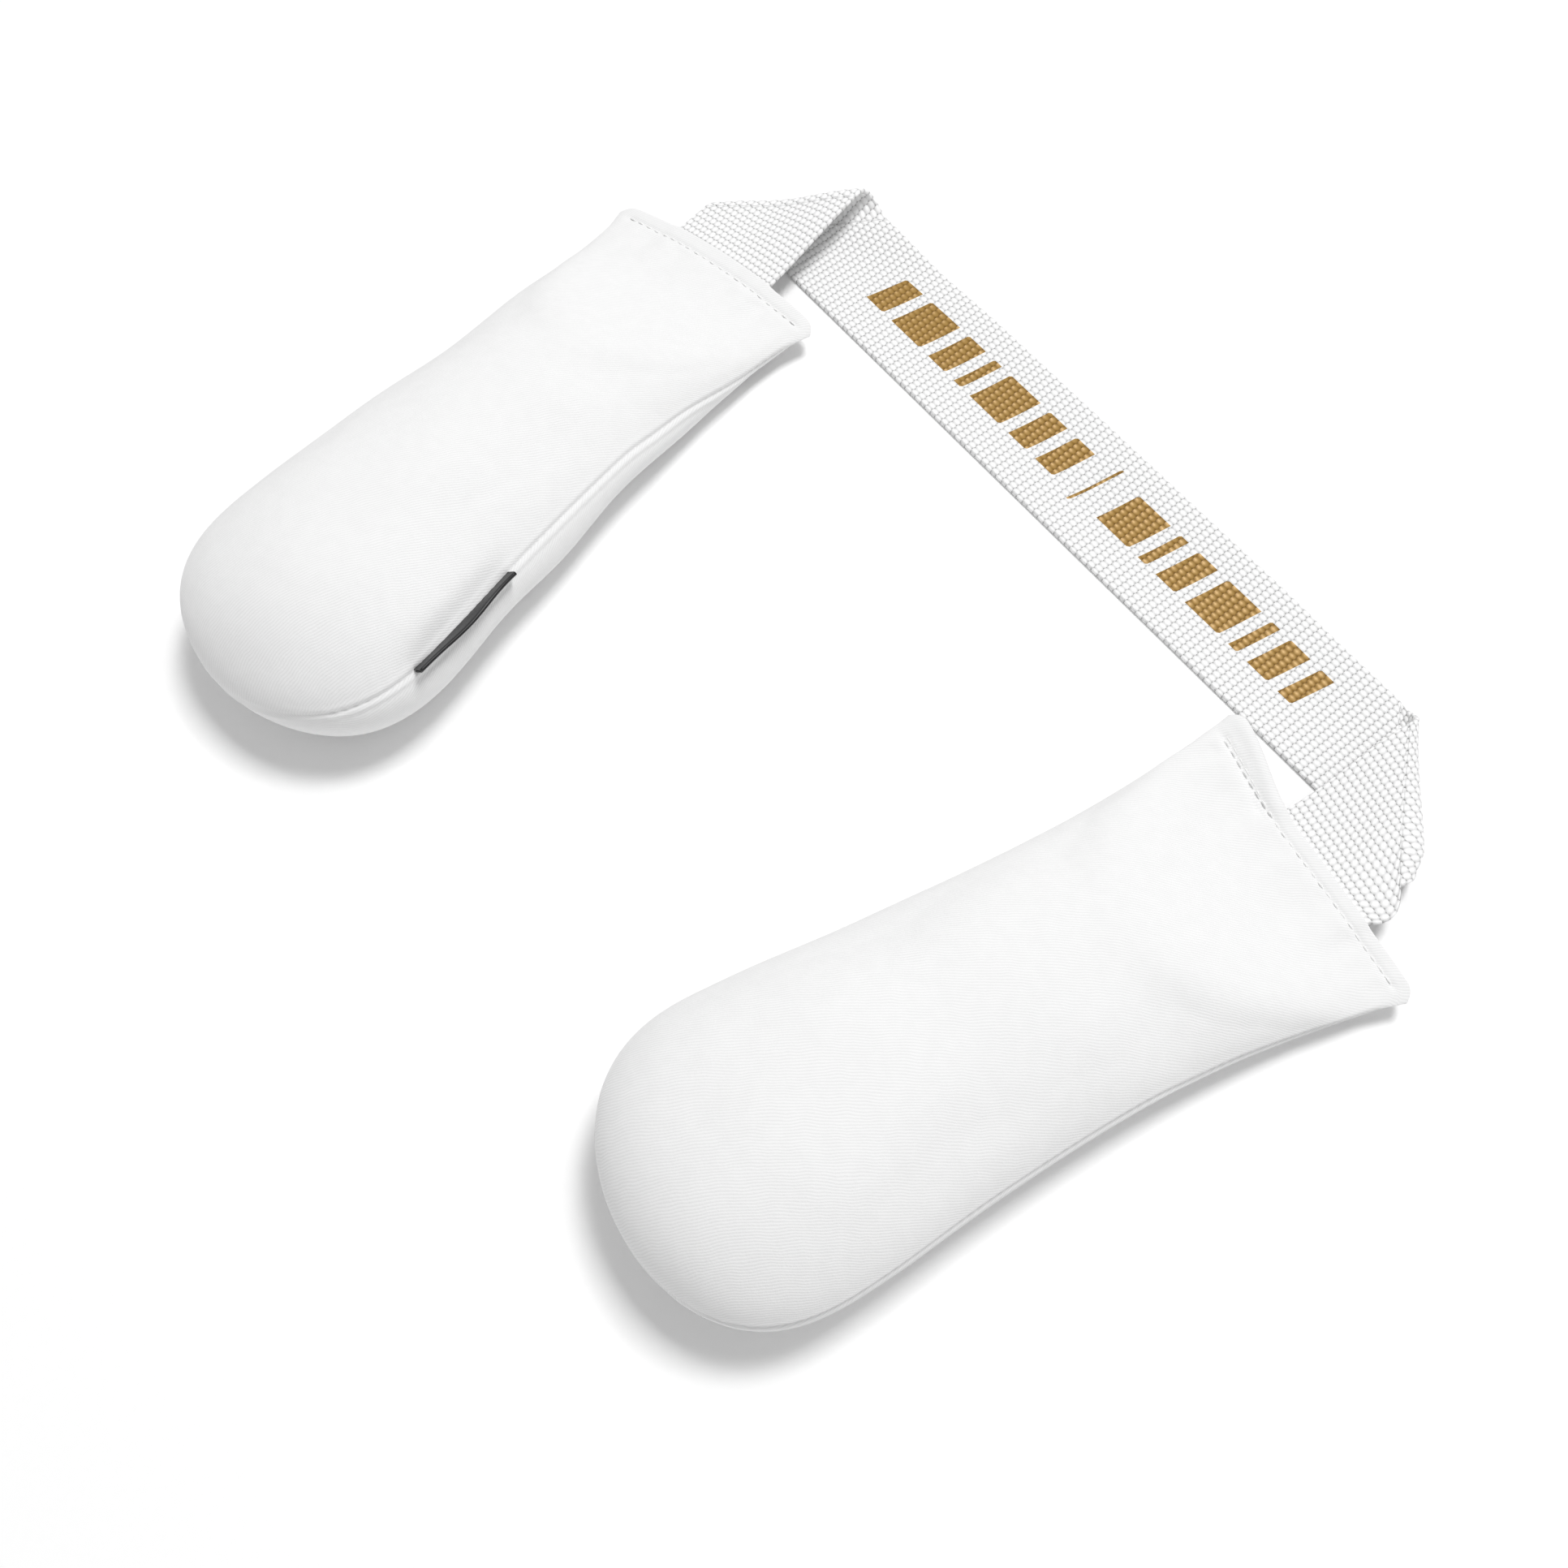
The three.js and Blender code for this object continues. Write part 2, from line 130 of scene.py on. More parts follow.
# Half widths and bends are (place along the pouch, value) pairs.  arch: how far the hem's middle
# stands up; bow: how far it is pulled out; skew: how far its inner corner reaches over the strap.
POUCHES = {
    "left": {
        "side": -1, "hem": 84.0, "roll": math.radians(22),
        "arch": 3.0, "bow": 2.4, "skew": 0.0, "entry": 0.0, "lift": 5.0,
        "raise": 3.4, "slack": (1.45, 1.0, 0.2), "slide": 0.0, "label": True,
        "widths": [(0, 42.0), (14, 39.6), (40, 38.4), (WAIST_AT, 38.6), (MIDDLE_AT, 41.8),
                   (TIP_START, 44.6), (LENGTH, 45.0)],
        "bends": [(0, 0.0), (40, -1.2), (WAIST_AT, -1.0), (MIDDLE_AT, 0.0), (TIP_START, 1.4),
                  (LENGTH, 2.6)],
    },
    "right": {
        "side": 1, "hem": 96.0, "roll": math.radians(8),
        "arch": 0.6, "bow": 0.4, "skew": 7.5, "entry": 4.5, "lift": 1.6,
        "raise": 1.4, "slack": (0.72, 1.6, 0.32), "slide": 4.2, "label": False,
        "widths": [(0, 48.0), (14, 45.6), (40, 42.2), (WAIST_AT, 40.2), (MIDDLE_AT, 41.8),
                   (TIP_START, 44.6), (LENGTH, 45.0)],
        "bends": [(0, 0.0), (40, -0.8), (WAIST_AT, -1.2), (MIDDLE_AT, -0.6), (TIP_START, 0.6),
                  (LENGTH, 1.4)],
    },
}


# ==== Small helpers ====

def smooth(t):
    """Eases from 0 to 1 as t goes from 0 to 1: 3 t squared minus 2 t cubed."""
    t = np.clip(t, 0, 1)
    return t * t * (3 - 2 * t)


def through(stations, x):
    """A smooth curve through stations: cubic between them, its slope at each the neighbours'."""
    place, value = np.array(stations, float).T
    slope = np.gradient(value, place)
    x = np.clip(x, place[0], place[-1])
    k = np.clip(np.searchsorted(place, x, side="right") - 1, 0, len(place) - 2)
    wide = place[k + 1] - place[k]
    t = (x - place[k]) / wide
    step = smooth(t)
    bend = t * (1 - t) * ((1 - t) * slope[k] - t * slope[k + 1]) * wide
    return value[k] * (1 - step) + value[k + 1] * step + bend


def unit(v):
    """Vectors scaled to length one."""
    return v / np.maximum(np.linalg.norm(v, axis=-1, keepdims=True), 1e-9)


def grid_quads(rows, cols, wrap=False):
    """Corner numbers of the quads of a grid of rows by cols points, wrapped across if asked."""
    i, j = np.meshgrid(np.arange(rows - 1), np.arange(cols if wrap else cols - 1), indexing="ij")
    k = (j + 1) % cols
    a, b = i * cols + j, i * cols + k
    c, d = (i + 1) * cols + k, (i + 1) * cols + j
    return np.stack([a, b, c, d], -1).reshape(-1, 4)


def inside_out(points, faces):
    """True where a closed surface's faces look inwards: its signed volume is below zero."""
    total = 0.0
    for f in faces:
        for k in range(2, f.shape[1]):
            a, b, c = points[f[:, 0]], points[f[:, k - 1]], points[f[:, k]]
            total += float((a * np.cross(b, c)).sum())
    return total < 0


def piece(name, points, faces, material, uv=None, rounded=None):
    """A mesh piece from points in metres and lists of faces of one size, turned outwards.

    uv gives each point its own pair, or each corner of the faces in their order.  Only the first
    faces are shaded round where a number of rounded ones is given.
    """
    faces = [np.asarray(f) for f in faces]
    if uv is not None and len(uv) == len(points):
        uv = np.concatenate([uv[f.reshape(-1)] for f in faces])
    if inside_out(points, faces):
        if uv is not None:
            cuts = np.cumsum([f.size for f in faces])[:-1]
            parts = [u.reshape(*f.shape, 2)[:, ::-1].reshape(-1, 2)
                     for u, f in zip(np.split(uv, cuts), faces)]
            uv = np.concatenate(parts)
        faces = [f[:, ::-1] for f in faces]
    corners = np.concatenate([f.reshape(-1) for f in faces])
    sizes = np.concatenate([np.full(len(f), f.shape[1]) for f in faces])
    mesh = bpy.data.meshes.new(name)
    mesh.vertices.add(len(points))
    mesh.vertices.foreach_set("co", np.ascontiguousarray(points, np.float32).reshape(-1))
    mesh.loops.add(len(corners))
    mesh.loops.foreach_set("vertex_index", corners.astype(np.int32))
    mesh.polygons.add(len(sizes))
    starts = np.concatenate([[0], np.cumsum(sizes)[:-1]])
    mesh.polygons.foreach_set("loop_start", starts.astype(np.int32))
    mesh.polygons.foreach_set("use_smooth", np.arange(len(sizes)) < (rounded or len(sizes)))
    mesh.update(calc_edges=True)
    if uv is not None:
        layer = mesh.uv_layers.new(name="weave")
        layer.data.foreach_set("uv", np.ascontiguousarray(uv, np.float32).reshape(-1))
    mesh.validate()
    mesh.materials.append(material)
    thing = bpy.data.objects.new(name, mesh)
    bpy.context.scene.collection.objects.link(thing)
    return thing


def pouch_frame(side):
    """Origin under the hem's middle, and the directions of x and y, from the hem's hinge."""
    joint = JOINTS[side + "_hem_bend"]
    turn = np.array(joint["axis"])
    along = np.array([-turn[1], turn[0], 0.0])
    along = along / np.linalg.norm(along)
    across = np.array([-along[1], along[0], 0.0])
    origin = np.array(joint["pos_m"]) / MM
    origin[2] = 0
    return origin + along * HINGE_OUT, along, across


def to_part(side, local):
    """Points of a pouch's own frame, in millimetres, as points of the part, in metres."""
    origin, along, across = pouch_frame(side)
    up = np.array([0, 0, 1.0])
    turned = origin + local[..., :1] * along + local[..., 1:2] * across + local[..., 2:] * up
    return turned * MM


def to_pouch(side, points):
    """Points of the part, in millimetres, in a pouch's own frame."""
    origin, along, across = pouch_frame(side)
    away = points - origin
    return np.stack([away @ along, away @ across, points[..., 2]], -1)


# ==== Materials ====

def colour(code):
    """An sRGB hex colour as linear RGBA."""
    parts = [int(code[k:k + 2], 16) / 255 for k in (1, 3, 5)]
    return (*[c / 12.92 if c <= 0.04045 else ((c + 0.055) / 1.055) ** 2.4 for c in parts], 1.0)


def add(tree, kind, inputs=(), stops=(), **settings):
    """Adds a node and gives it back: settings go on the node, inputs on its sockets.

    An input is a value, an output, or a node that stands for its first output.  stops are a
    colour ramp's (place, hex colour) pairs.
    """
    made = tree.nodes.new(kind)
    for key, value in settings.items():
        setattr(made, key, value)
    named = inputs if isinstance(inputs, dict) else dict(enumerate(inputs))
    for key, value in named.items():
        source = value.outputs[0] if isinstance(value, bpy.types.Node) else value
        if isinstance(source, bpy.types.NodeSocket):
            tree.links.new(source, made.inputs[key])
        else:
            made.inputs[key].default_value = source
    for number, (place, code) in enumerate(stops):
        elements = made.color_ramp.elements
        element = elements[number] if number < len(elements) else elements.new(place)
        element.position = place
        element.color = colour(code)
    return made


def material(name, shader):
    """A material whose Principled BSDF takes these constants; gives it and its node tree."""
    made = bpy.data.materials.new(name)
    made.use_nodes = True
    bsdf = made.node_tree.nodes["Principled BSDF"]
    for key, value in shader.items():
        bsdf.inputs[key].default_value = value
    return made, made.node_tree


def dress(tree, tone, height=None, strength=0.0, depth=0.0):
    """Joins a tone, and a height that stands for so many millimetres of relief, to the shader."""
    shader = tree.nodes["Principled BSDF"]
    tree.links.new(tone.outputs[0], shader.inputs["Base Color"])
    if height is not None:
        relief = add(tree, "ShaderNodeBump", {"Height": height, "Strength": strength,
                                              "Distance": depth * MM})
        tree.links.new(relief.outputs[0], shader.inputs["Normal"])


def cloth_map(tree):
    """The piece's own map in millimetres, and its parts across and along the cloth."""
    uv = add(tree, "ShaderNodeUVMap", uv_map="weave")
    scaled = add(tree, "ShaderNodeVectorMath", {0: uv, 3: 1 / MM}, operation="SCALE")
    parts = add(tree, "ShaderNodeSeparateXYZ", (scaled,))
    return scaled, parts.outputs[0], parts.outputs[1]


MATH = "ShaderNodeMath"
NOISE = "ShaderNodeTexNoise"
RAMP = "ShaderNodeValToRGB"

KNIT_RIB = 0.9           # real ribs are about 0.6 mm apart; drawn wider so that they show
KNIT_SLANT = 0.55        # ribs lean this far along for each step across
YARN_PITCH = 2.0         # webbing: from float to float across the strap
PICK_PITCH = 2.5         # and from one row of floats to the next
FLOAT_RELIEF = 0.7       # how far a float stands over the valleys beside it
PRINT_RELIEF = 0.42      # and where ink fills those valleys
SATIN_RIB = 0.5          # filling threads of the ribbon


def knit_material():
    """Brushed polyester interlock knit: soft white, faint diagonal ribs, a short even nap."""
    made, tree = material("brushed_knit", {
        "Roughness": 0.92, "Specular IOR Level": 0.25,
        "Sheen Weight": 0.22, "Sheen Roughness": 0.45})
    place, across, along = cloth_map(tree)
    slope = add(tree, MATH, (along, KNIT_SLANT, across), operation="MULTIPLY_ADD")
    wobble = add(tree, NOISE, {"Vector": place, "Scale": 0.09, "Detail": 2.0})
    lean = add(tree, MATH, (wobble, 2.4, slope), operation="MULTIPLY_ADD")
    turns = add(tree, MATH, (lean, 2 * math.pi / KNIT_RIB), operation="MULTIPLY")
    rib = add(tree, MATH, (turns,), operation="SINE")
    nap = add(tree, NOISE, {"Vector": place, "Scale": 1.1, "Detail": 4.0, "Roughness": 0.65})
    fuzz = add(tree, NOISE, {"Vector": place, "Scale": 0.22, "Detail": 3.0})
    pile = add(tree, MATH, (rib, 0.2, nap), operation="MULTIPLY_ADD")
    height = add(tree, MATH, (fuzz, 0.35, pile), operation="MULTIPLY_ADD")
    tone = add(tree, RAMP, (fuzz,), [(0.35, "#F2F2F2"), (0.65, "#F4F4F4")])
    level = add(tree, MATH, (rib, 0.5, 0.5), operation="MULTIPLY_ADD")
    shade = add(tree, RAMP, (level,), [(0.0, "#F6F6F6"), (0.6, "#FFFFFF")])
    mixed = add(tree, "ShaderNodeVectorMath", (tone, shade), operation="MULTIPLY")
    dress(tree, mixed, height, 0.35, 0.25)
    return made


def yarn_height(tree, across, along):
    """Webbing's floats: rounded ovals in rows across the strap, each row half a step over.

    The oval is a mix of the product of two half waves and of their sum less that product.
    """
    row = add(tree, MATH, (along, PICK_PITCH), operation="DIVIDE")
    whole = add(tree, MATH, (row,), operation="FLOOR")
    number = add(tree, MATH, (whole,), operation="ABSOLUTE")
    odd = add(tree, MATH, (number, 2.0), operation="MODULO")
    place = add(tree, MATH, (across, YARN_PITCH), operation="DIVIDE")
    column = add(tree, MATH, (odd, 0.5, place), operation="MULTIPLY_ADD")
    waves = []
    for steps in (column, row):
        turn = add(tree, MATH, (steps, math.pi), operation="MULTIPLY")
        wave = add(tree, MATH, (turn,), operation="SINE")
        waves.append(add(tree, MATH, (wave,), operation="ABSOLUTE"))
    both = add(tree, MATH, tuple(waves), operation="MULTIPLY")
    total = add(tree, MATH, tuple(waves), operation="ADD")
    either = add(tree, MATH, (total, both), operation="SUBTRACT")
    low = add(tree, MATH, (either, 0.55), operation="MULTIPLY")
    return add(tree, MATH, (both, 0.45, low), operation="MULTIPLY_ADD")


def webbing_material():
    """Woven white polyester webbing: coarse glossy floats, with painted shade greying the valleys between
    them and the floats' sides.
    """
    made, tree = material("polyester_webbing", {
        "Roughness": 0.5, "Specular IOR Level": 0.45,
        "Sheen Weight": 0.1, "Sheen Roughness": 0.4})
    place, across, along = cloth_map(tree)
    oval = yarn_height(tree, across, along)
    # Painted shade: the ramp greys the weave's valleys and the floats' sides and keeps the float tops white.
    tone = add(tree, RAMP, (oval,), [(0.12, "#ACACAC"), (0.42, "#F0F0F0"), (0.8, "#FFFFFF")])
    fibre = add(tree, NOISE, {"Vector": place, "Scale": 3.0, "Detail": 3.0})
    height = add(tree, MATH, (fibre, 0.12, oval), operation="MULTIPLY_ADD")
    dress(tree, tone, height, 1.0, FLOAT_RELIEF)
    return made


def print_material():
    """Dull gold screen print on webbing: bright on the floats, with painted shade turning it brown in the
    weave's valleys.
    """
    made, tree = material("gold_screen_print", {
        "Roughness": 0.42, "Metallic": 0.15, "Specular IOR Level": 0.5})
    place, across, along = cloth_map(tree)
    oval = yarn_height(tree, across, along)
    blot = add(tree, NOISE, {"Vector": place, "Scale": 0.5, "Detail": 3.0})
    level = add(tree, MATH, (blot, 0.25, oval), operation="MULTIPLY_ADD")
    # Painted shade: the ramp turns the ink brown where the weave's valleys lie; the blot noise is the ink's
    # own uneven tone.
    tone = add(tree, RAMP, (level,), [(0.1, "#654718"), (0.55, "#926C25"), (1.0, "#AD8846")])
    dress(tree, tone, oval, 0.8, PRINT_RELIEF)
    return made


def thread_material():
    """Twisted white polyester sewing thread: a little gloss, and the slant of its twist."""
    made, tree = material("polyester_thread", {"Roughness": 0.5, "Sheen Weight": 0.2})
    place = add(tree, "ShaderNodeTexCoord").outputs["Object"]
    twist = add(tree, "ShaderNodeTexWave", {"Vector": place, "Scale": 900.0, "Distortion": 1.0},
                bands_direction="DIAGONAL").outputs[1]
    tone = add(tree, RAMP, (twist,), [(0.0, "#EFEFEE"), (1.0, "#FEFEFE")])
    dress(tree, tone, twist, 0.4, 0.08)
    return made


def satin_material():
    """Black woven satin ribbon, folded: smooth, with a soft streaky gloss along its length."""
    made, tree = material("black_satin", {
        "Roughness": 0.36, "Specular IOR Level": 0.45, "Anisotropic": 0.5,
        "Sheen Weight": 0.04, "Sheen Roughness": 0.3})
    place, across, _ = cloth_map(tree)
    turns = add(tree, MATH, (across, 2 * math.pi / SATIN_RIB), operation="MULTIPLY")
    rib = add(tree, MATH, (turns,), operation="SINE")
    streak = add(tree, NOISE, {"Vector": place, "Scale": 0.8, "Detail": 3.0})
    tone = add(tree, RAMP, (streak,), [(0.3, "#0C0C0E"), (0.7, "#18181B")])
    dress(tree, tone, rib, 0.3, 0.05)
    return made


def nonwoven_material():
    """Spunbond nonwoven: off-white sheet of tangled fibres, matt, with pressed dots."""
    made, tree = material("spunbond_nonwoven", {"Roughness": 0.95, "Sheen Weight": 0.2})
    place = add(tree, "ShaderNodeTexCoord").outputs["Object"]
    fibres = add(tree, NOISE, {"Vector": place, "Scale": 900.0, "Detail": 5.0, "Roughness": 0.7})
    dots = add(tree, "ShaderNodeTexVoronoi", {"Vector": place, "Scale": 450.0, "Randomness": 0.1})
    tone = add(tree, RAMP, (fibres,), [(0.3, "#E2DDD0"), (0.7, "#F1EDE3")])
    height = add(tree, MATH, (fibres, dots), operation="ADD")
    dress(tree, tone, height, 0.5, 0.2)
    return made


def chips_material():
    """Loose cedar chips: flat slivers of reddish brown wood, each its own shade, with grain."""
    made, tree = material("cedar_chips", {"Roughness": 0.85})
    place = add(tree, "ShaderNodeTexCoord").outputs["Object"]
    chips = add(tree, "ShaderNodeTexVoronoi", {"Vector": place, "Scale": 190.0})
    grain = add(tree, NOISE, {"Vector": place, "Scale": 800.0, "Detail": 4.0})
    tint = add(tree, "ShaderNodeSeparateColor", (chips.outputs["Color"],))
    level = add(tree, MATH, (grain, 0.4, tint), operation="MULTIPLY_ADD")
    tone = add(tree, RAMP, (level,), [(0.1, "#7C4F2A"), (0.6, "#B07A47"), (1.0, "#D9AF7A")])
    height = add(tree, MATH, (chips.outputs["Distance"], grain), operation="ADD")
    dress(tree, tone, height, 0.8, 1.0)
    return made


KNIT = knit_material()
WEBBING = webbing_material()
GOLD = print_material()
THREAD = thread_material()
SATIN = satin_material()
NONWOVEN = nonwoven_material()
CHIPS = chips_material()

INNER_FINISH = {
    "sachet": NONWOVEN,
    "filling": CHIPS,
    "thread": THREAD,
    "label": SATIN,
    "strap": WEBBING,
    "panel": KNIT,
}


# ==== The pouch's cover ====

def inner_corner(shape, y):
    """0 over most of the hem, rising to 1 at its corner beside the strap's run."""
    return smooth((-y - 8) / (shape["hem"] / 2 - 8))


def hem_middle(shape, x, y):
    """Height of the sewn band's middle: level, with an arch over the hem that dies out inwards."""
    dome = 1 - np.clip(np.abs(y) / (shape["hem"] / 2), 0, 1) ** 2
    raised = shape["arch"] * dome + 0.35 * shape["skew"] * inner_corner(shape, y)
    return through(SEAM_STATIONS, x) + raised * (1 - smooth(x / 60))


def hem_front(shape, y):
    """How far the hem's edge lies back of or before its line: bowed out, rounded at the corners."""
    half = shape["hem"] / 2
    dome = 1 - np.clip(np.abs(y) / half, 0, 1) ** 2
    corner = 3.4 * np.clip((np.abs(y) - (half - 5)) / 5, 0, 1) ** 2.4
    return corner - shape["bow"] * dome - shape["skew"] * inner_corner(shape, y)


def over_strap(x, y):
    """1 where the strap's end lies inside the band, 0 beside it."""
    return smooth((22.3 - np.abs(y)) / 3) * (1 - smooth((x - 8) / 16))


def half_height(shape, x, y, upper):
    """Cover above or below the seam: the flat band to the stitching, then a quick swell."""
    swell = smooth(np.clip((x - STITCH_AT) / 62, 0, 1) ** 0.62)
    full = through(RISE_STATIONS, x) if upper else through(SEAM_STATIONS, x) + BELLY_PRESS
    height = LIP + (full - LIP) * swell + 0.75 * over_strap(x, y - shape["entry"])
    if upper and shape["skew"] > 0:
        rolled = smooth((-y - 13) / 3.5)
        height = height + rolled * (1.5 * np.exp(-((x - 2.2) / 2.6) ** 2)
                                    - 0.5 * np.exp(-((x - 7.4) / 1.1) ** 2))
    return height


def cover_point(shape, x_row, tip, b, upper):
    """Cover before its seams are drawn in, and the outward direction there.

    A row and b name a point of half a unit sphere, squared off so that no point gathers all
    rows.  It is turned by the pouch's roll, then stretched to the pouch: across by the half
    width, up by the rise and down by the drop, with the tip's outline a power of x.
    """
    a = tip ** (TIP_WIDTH_POWER / 2)
    ux = a * np.sqrt(1 - b * b / 2)
    uy = b * np.sqrt(1 - a * a / 2)
    uz = np.sqrt(np.maximum(1 - ux * ux - uy * uy, 0)) * (1 if upper else -1)
    t = ux ** (2 / TIP_WIDTH_POWER)
    x = x_row + TIP_LENGTH * t
    roll = shape["roll"] * smooth((x - HEM_DEPTH) / WAIST_AT)
    vy = uy * np.cos(roll) - uz * np.sin(roll)
    vz = uy * np.sin(roll) + uz * np.cos(roll)
    half = through(shape["widths"], x)
    y = half * vy
    side = np.clip(np.abs(vy) / np.maximum(np.hypot(vy, vz), 1e-9), 0, 1)
    power = 10 - 8 * smooth(x / WAIST_AT)
    share = np.sqrt(np.maximum(1 - side ** power, 0))
    share = share * np.sqrt(np.maximum(1 - t ** TIP_HEIGHT_POWER, 0))
    above = vz >= 0
    rise = half_height(shape, x, y, True)
    drop = half_height(shape, x, y, False)
    z = hem_middle(shape, x, y) + np.where(above, rise, -drop) * share
    floor = 0.35
    z = (z + np.sqrt(z * z + 4 * floor * floor)) / 2
    way = np.stack([ux * 0.9 / TIP_LENGTH, vy / half, vz / np.where(above, rise, drop)], -1)
    front = hem_front(shape, y) * (1 - smooth(x / FRONT_FADE))
    return np.stack([x + front, y + through(shape["bends"], x), z], -1), unit(way)


def columns(count):
    """Places across a panel, closer together towards the seams: cosine of an eased angle."""
    u = np.linspace(0, 1, count)
    u = u - 0.72 * np.sin(2 * math.pi * u) / (2 * math.pi)
    return -np.cos(math.pi * u)


def body_rows(fine):
    """Row places along the body, then the shares of the tip: closer together at hem and rim."""
    band = np.linspace(LIP_ROUND, 12, int(14 * fine), endpoint=False)
    body = np.linspace(12, TIP_START, int(74 * fine), endpoint=False)
    tip = np.sin(np.linspace(0, math.pi / 2, int(26 * fine))) ** 0.9
    tip[-1] = 1
    rows = np.concatenate([band, body, np.full(len(tip), TIP_START)])
    tips = np.concatenate([np.zeros(len(band) + len(body)), tip])
    return rows, tips


def mouth_rows(shape, b, upper):
    """The turned edge: from inside the mouth along the strap, then round the lip to the outside."""
    y = shape["hem"] / 2 * b
    side = np.sqrt(np.maximum(1 - np.abs(b) ** 10, 0))

    def across(x):
        """Places across the mouth, a little inside the cover's own width."""
        return (through(shape["widths"], x) - 0.8) * b + through(shape["bends"], x)

    outer = half_height(shape, np.full_like(y, LIP_ROUND), y, True) * side
    inner = (0.12 + 0.8 * over_strap(0 * y, y - shape["entry"])) * side
    sign = 1 if upper else -1
    front = hem_front(shape, y)
    points = []
    for x, share in [(MOUTH + 2, 0.0), (MOUTH, 1.0), (5.0, 1.0), (2.5, 1.0)]:
        place = np.full_like(y, x)
        z = hem_middle(shape, place, y) + sign * inner * share
        points.append(np.stack([x + front * (1 - smooth(x / FRONT_FADE)), across(place), z], -1))
    middle, radius = (outer + inner) / 2, (outer - inner) / 2
    for turn in np.linspace(-math.pi / 2, math.pi / 2, 7)[:-1]:
        x = LIP_ROUND * (1 - math.cos(turn)) + 0 * y
        z = hem_middle(shape, x, y) + sign * (middle + radius * math.sin(turn))
        points.append(np.stack([x + front * (1 - smooth(x / FRONT_FADE)), y, z], -1))
    return np.stack(points)


def arc_lengths(points):
    """Distance in millimetres along each line of a grid's last axis, from its first point."""
    steps = np.linalg.norm(np.diff(points, axis=1), axis=-1)
    return np.concatenate([np.zeros((len(points), 1)), np.cumsum(steps, 1)], 1)


def dents(x, y, seed):
    """Slack in the fabric: a few long waves of set directions and phases, in millimetres."""
    rng = np.random.default_rng(seed)
    total = np.zeros_like(x)
    for _ in range(9):
        angle, phase = rng.uniform(0, math.pi), rng.uniform(0, 2 * math.pi)
        wave = rng.uniform(26, 62)
        way = x * math.cos(angle) + y * math.sin(angle)
        total = total + np.sin(2 * math.pi * way / wave + phase)
    return total / 3


def hem_gathers(x, y, seed):
    """Short folds that run in from the stitching and fade out over about 30 mm."""
    rng = np.random.default_rng(seed)
    total = np.zeros_like(x)
    for wave in (7.5, 11.0, 17.0):
        phase = rng.uniform(0, 2 * math.pi)
        total = total + np.sin(2 * math.pi * y / wave + phase + 0.02 * x) * wave / 17
    near = smooth((x - STITCH_AT) / 3) * np.exp(-np.maximum(x - STITCH_AT, 0) / 12)
    return total * near


def cover_relief(shape, local, to_seam, along_seam, upper, seed):
    """How far the finished cover stands out from its plain form, in millimetres."""
    x, y = local[..., 0], local[..., 1]
    beyond = smooth((x - 6) / 10)
    pucker = 1 + 0.3 * np.sin(2 * math.pi * along_seam / 3.4)
    relief = -0.6 * pucker * np.exp(-(to_seam / 0.9) ** 2)
    if not upper:
        relief = relief - 0.22 * pucker * np.exp(-((to_seam - 2.6) / 0.9) ** 2)
    relief = relief + 0.18 * np.exp(-((to_seam - 1.5) / 0.9) ** 2)
    relief = relief * beyond
    inside = smooth(to_seam / 16)
    relief = relief + 0.38 * dents(x, y, seed) * beyond * inside
    relief = relief + 0.45 * hem_gathers(x, y, seed + 7) * smooth(to_seam / 8)
    if shape["label"] and upper:
        beside = np.exp(-((x - LABEL_AT) / 22) ** 4) * (y > 0)
        dent = 1.1 * beside * np.exp(-((to_seam - 3.0) / 4.5) ** 2)
        relief = relief - dent * smooth(to_seam / 1.5)
    line = hem_front(shape, y) * 0.4 + STITCH_AT
    tight = 0.75 + 0.25 * np.cos(2 * math.pi * y / STITCH_PITCH)
    sewn = smooth((shape["hem"] / 2 - 3 - np.abs(y)) / 3)
    relief = relief - 0.75 * tight * sewn * np.exp(-((x - line) / 0.9) ** 2)
    return relief


def sewn_together(top, bottom):
    """Two grids as one closed surface: their rims become one, halfway between them.

    Gives the points, each grid's faces, and each grid's point numbers.
    """
    shape = top.shape[:2]
    rim = np.zeros(shape, bool)
    rim[[0, -1]] = True
    rim[:, [0, -1]] = True
    top = top.copy()
    top[rim] = (top[rim] + bottom[rim]) / 2
    top_ids = np.arange(top[..., 0].size).reshape(shape)
    bottom_ids = top_ids.copy()
    bottom_ids[~rim] = top_ids.size + np.arange((~rim).sum())
    quads = grid_quads(*shape)
    points = np.concatenate([top.reshape(-1, 3), bottom[~rim]])
    faces = [top_ids.reshape(-1)[quads], bottom_ids.reshape(-1)[quads][:, ::-1]]
    return points, faces, (top_ids, bottom_ids)


def weigh(thing, name, weights):
    """Gives a piece a vertex group with these weights, one for each of its points."""
    layer = thing.data.attributes.new(name, "FLOAT", "POINT")
    layer.data.foreach_set("value", weights.astype(np.float32))
    thing.data.attributes.active = layer
    with bpy.context.temp_override(object=thing, active_object=thing):
        bpy.ops.geometry.attribute_convert(mode="VERTEX_GROUP")


